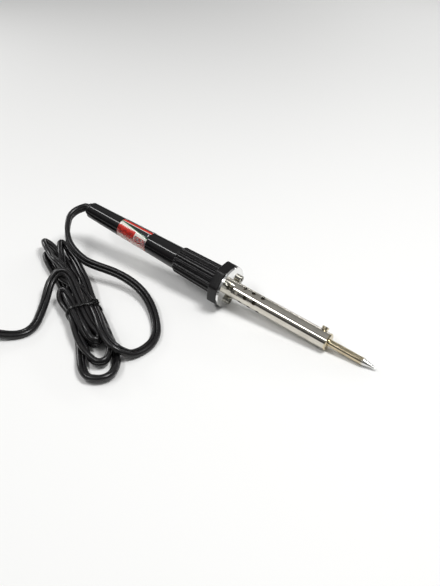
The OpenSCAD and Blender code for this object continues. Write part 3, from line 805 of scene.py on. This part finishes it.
def fluted(base, depth):
    """The grip's radius at an angle, with a hollow at every flute."""
    def radius(a):
        off = math.radians((a + 180 / FLUTES) % (360 / FLUTES) - 180 / FLUTES)
        middle = base + FLUTE_R - depth
        half = middle * math.sin(off)
        if abs(half) >= FLUTE_R or depth <= 0:
            return base
        cut = middle * math.cos(off) - math.sqrt(FLUTE_R**2 - half**2)
        soft = 0.1
        # a soft minimum rounds the rib's edges
        return 0.5 * (base + cut - math.sqrt((base - cut) ** 2 + soft**2)) if cut < base + 1 else base
    return radius


def octagon(apothem):
    """The radius of an octagon with slightly round corners."""
    def radius(a):
        total = sum(max(0, math.cos(math.radians(a - 45 * k))) ** COLLAR_POWER for k in range(8))
        return apothem / total ** (1 / COLLAR_POWER)
    return radius


def between(first, second, share):
    """A radius part way between two, each a number or a function of the angle."""
    def radius(a):
        one = first(a) if callable(first) else first
        two = second(a) if callable(second) else second
        return one + (two - one) * share
    return radius


def make_handle():
    """One closed shell: out along the sleeve, the grip and the collar, and back through the bore."""
    rings, glossy = [], []

    def ring(s, radius, shine=False):
        rings.append(round_axis(s, radius))
        glossy.append(shine)

    ring(HANDLE_REAR, CORD_HOLE_R)
    for s, r in SLEEVE_END:
        ring(HANDLE_REAR + s, r, True)
    for k in range(1, 40):
        s = SLEEVE_FROM + (SLEEVE_TO - SLEEVE_FROM) * k / 40
        ring(s, sleeve_radius(s), True)
    ring(GRIP_REAR - 0.35, 8.08, True)
    ring(GRIP_REAR - 0.1, 8.12, True)
    for s, r in SHOULDER:
        ring(GRIP_REAR + s, fluted(r, FLUTE_DEPTH - 0.75 * max(GRIP_R - r, 0)))
    grip_front = COLLAR_REAR - 0.6
    ribs_from = GRIP_REAR + SHOULDER[-1][0]
    for k in range(1, 17):
        s = ribs_from + (grip_front - 1.1 - ribs_from) * k / 16
        ring(s, fluted(GRIP_R + GRIP_WIDENS * (s - GRIP_REAR - 1.6) / GRIP_RUN, FLUTE_DEPTH))
    for s, depth in RUN_OUT:
        ring(grip_front + s, fluted(10.28, depth))
    ring(COLLAR_REAR - 0.12, 10.3)
    ring(COLLAR_REAR, NECK_R)
    face_edge = octagon(COLLAR_HALF - COLLAR_BEVEL)
    for share in (0.3, 0.65):
        ring(COLLAR_REAR, between(NECK_R, face_edge, share))
    for inset, step in COLLAR_EDGE:
        ring(COLLAR_REAR + step, octagon(COLLAR_HALF - inset))
    flat_from, flat_to = COLLAR_REAR + COLLAR_BEVEL, COLLAR_FRONT - COLLAR_BEVEL
    for share in (0.33, 0.67):
        ring(flat_from + (flat_to - flat_from) * share, octagon(COLLAR_HALF))
    for inset, step in reversed(COLLAR_EDGE):
        ring(COLLAR_FRONT - step, octagon(COLLAR_HALF - inset))
    ring(COLLAR_FRONT, between(face_edge, 6.9, 0.6))
    ring(COLLAR_FRONT, SEAT_R)
    ring(COLLAR_FRONT - SEAT_DEPTH, SEAT_R)
    ring(COLLAR_FRONT - SEAT_DEPTH, BORE_R)
    ring(GRIP_REAR, BORE_R)
    ring(GRIP_REAR, CHANNEL_R)
    ring(HANDLE_REAR + 6, CHANNEL_R)
    ring(HANDLE_REAR + 6, CORD_HOLE_R)
    bm = bmesh.new()
    for shine, faces in zip(glossy, loop_rings(bm, rings)):
        for face in faces:
            face.material_index = 0 if shine else 1
    bmesh.ops.recalc_face_normals(bm, faces=bm.faces[:])
    handle = add_piece("handle_shell", bm, "iron", "handle", slot="handle_plastic", material=sleeve_gloss)
    handle.data.materials.append(grip_satin)


def make_label():
    """The printed foil, with its angle and its share of the length in the UV map that its print reads."""
    bm = bmesh.new()
    uv = bm.loops.layers.uv.new("label")
    columns, rows = 120, 10
    start, wrap = -30, 330    # degrees
    under, over = 0.02, 0.14    # the foil's two faces above the sleeve, in millimetres

    def point(i, j, lift):
        a = math.radians(start + wrap * i / columns)
        s = LABEL_FROM + (LABEL_TO - LABEL_FROM) * j / rows
        r = sleeve_radius(s) + lift
        return on_axis(s, -r * math.cos(a), r * math.sin(a))

    def grid_at(lift):
        return [[bm.verts.new(point(i, j, lift)) for j in range(rows + 1)] for i in range(columns + 1)]

    low, high = grid_at(under), grid_at(over)

    def face(corners, places):
        made = bm.faces.new(corners)
        for loop, (i, j) in zip(made.loops, places):
            loop[uv].uv = ((start + wrap * i / columns) / 100, j / rows)

    for grid in (low, high):
        for i in range(columns):
            for j in range(rows):
                places = [(i, j), (i, j + 1), (i + 1, j + 1), (i + 1, j)]
                if grid is high:
                    places.reverse()
                face([grid[a][b] for a, b in places], places)
    for i in range(columns):
        for j in (0, rows):
            edge = [(i, j), (i + 1, j), (i + 1, j), (i, j)]
            face([low[i][j], low[i + 1][j], high[i + 1][j], high[i][j]], edge)
    for j in range(rows):
        for i in (0, columns):
            edge = [(i, j), (i, j + 1), (i, j + 1), (i, j)]
            face([low[i][j], low[i][j + 1], high[i][j + 1], high[i][j]], edge)
    bmesh.ops.recalc_face_normals(bm, faces=bm.faces[:])
    add_piece("label_foil", bm, "iron", "label", slot="label_foil", material=make_label_print())


make_handle()
make_label()

# ---- Materials of the pieces that keep their CAD shape ----

FINISHES = {
    "cord_grommet": grommet_rubber, "flange_disc": bright_steel, "flange_screws": screw_steel,
    "flange_inserts": brass, "barrel_tube": make_barrel_metal(), "barrel_cap": cap_metal,
    "set_screw": cap_metal, "soldering_tip": make_bit_metal(), "heater_core": ceramic,
    "heating_coil": ribbon_metal, "mica_sleeve": mica, "front_insulator": ceramic, "rear_insulator": ceramic,
    "heater_leads": clamp_steel, "lead_sleeves": sleeving, "terminal_block": ceramic,
    "terminal_screws": brass, "cord_cores": copper, "cord_clamp": clamp_steel, "cord_inside": cord_rubber,
    "plug_pins": pin_metal, "pin_sleeves": plug_plastic,
}
for node, finish in FINISHES.items():
    piece = frame["nodes"][node]
    piece.data.materials.clear()
    piece.data.materials.append(finish)
cord.data.materials.append(cord_rubber)


# ---- Stage ----


FLOOR_SIZE = 8
# The sky: how high, from the horizon (0) to straight up (1), and how bright it is there
SKY = ((0.0, 0.2), (0.06, 0.12), (0.12, 0.05), (0.28, 0.05), (0.45, 0.2), (0.7, 0.32), (1.0, 0.38))


def make_stage():
    bpy.ops.mesh.primitive_plane_add(size=FLOOR_SIZE)
    floor = bpy.context.active_object
    floor.name = "floor"
    mat = bpy.data.materials.new("floor")
    mat.use_nodes = True
    bsdf = mat.node_tree.nodes["Principled BSDF"]
    bsdf.inputs["Base Color"].default_value = (0.86, 0.86, 0.85, 1)
    bsdf.inputs["Roughness"].default_value = 0.6
    floor.data.materials.append(mat)
    make_world()


def make_world():
    """Soft daylight: bright overhead and dimmer low down, so that polished metal shows light and dark."""
    world = bpy.data.worlds.new("studio")
    world.use_nodes = True
    tree = world.node_tree
    coordinates = tree.nodes.new("ShaderNodeTexCoord")
    split = tree.nodes.new("ShaderNodeSeparateXYZ")
    ramp = tree.nodes.new("ShaderNodeValToRGB")
    ramp.color_ramp.elements[0].color = (*[SKY[0][1]] * 3, 1)
    ramp.color_ramp.elements[1].color = (*[SKY[-1][1]] * 3, 1)
    for at, shade in SKY[1:-1]:
        ramp.color_ramp.elements.new(at).color = (shade, shade, shade, 1)
    tree.links.new(coordinates.outputs["Generated"], split.inputs[0])
    tree.links.new(split.outputs[2], ramp.inputs[0])
    tree.links.new(ramp.outputs[0], tree.nodes["Background"].inputs["Color"])
    tree.nodes["Background"].inputs["Strength"].default_value = 1.0
    SCENE.world = world


def add_light(name, place, aim, size, power):
    data = bpy.data.lights.new(name, "AREA")
    data.shape = "RECTANGLE"
    data.size, data.size_y = size
    data.energy = power
    light = bpy.data.objects.new(name, data)
    light.location = place
    light.rotation_euler = (Vector(aim) - Vector(place)).to_track_quat("-Z", "Y").to_euler()
    SCENE.collection.objects.link(light)


def toward(direction, distance):
    return Vector(direction).normalized() * distance


SCENE.view_settings.view_transform = "Standard"    # no film curve, so that white and black stay clear
make_stage()
add_light("overhead", toward((0.34, 0.12, 1), 0.85), (0, -0.04, 0), (0.26, 0.26), 4.7)
add_light("strip", on_axis(-75) + toward((-0.302, -0.434, 0.848), 0.8), on_axis(-75), (0.7, 0.07), 2.0)
add_light("back strip", on_axis(-20) + toward((0.1, 0.95, 0.3), 0.9), on_axis(-20), (0.9, 0.06), 1.2)
add_light("low left", on_axis(-60) + toward((-0.94, 0.1, 0.33), 0.8), on_axis(-60), (0.25, 0.16), 0.9)
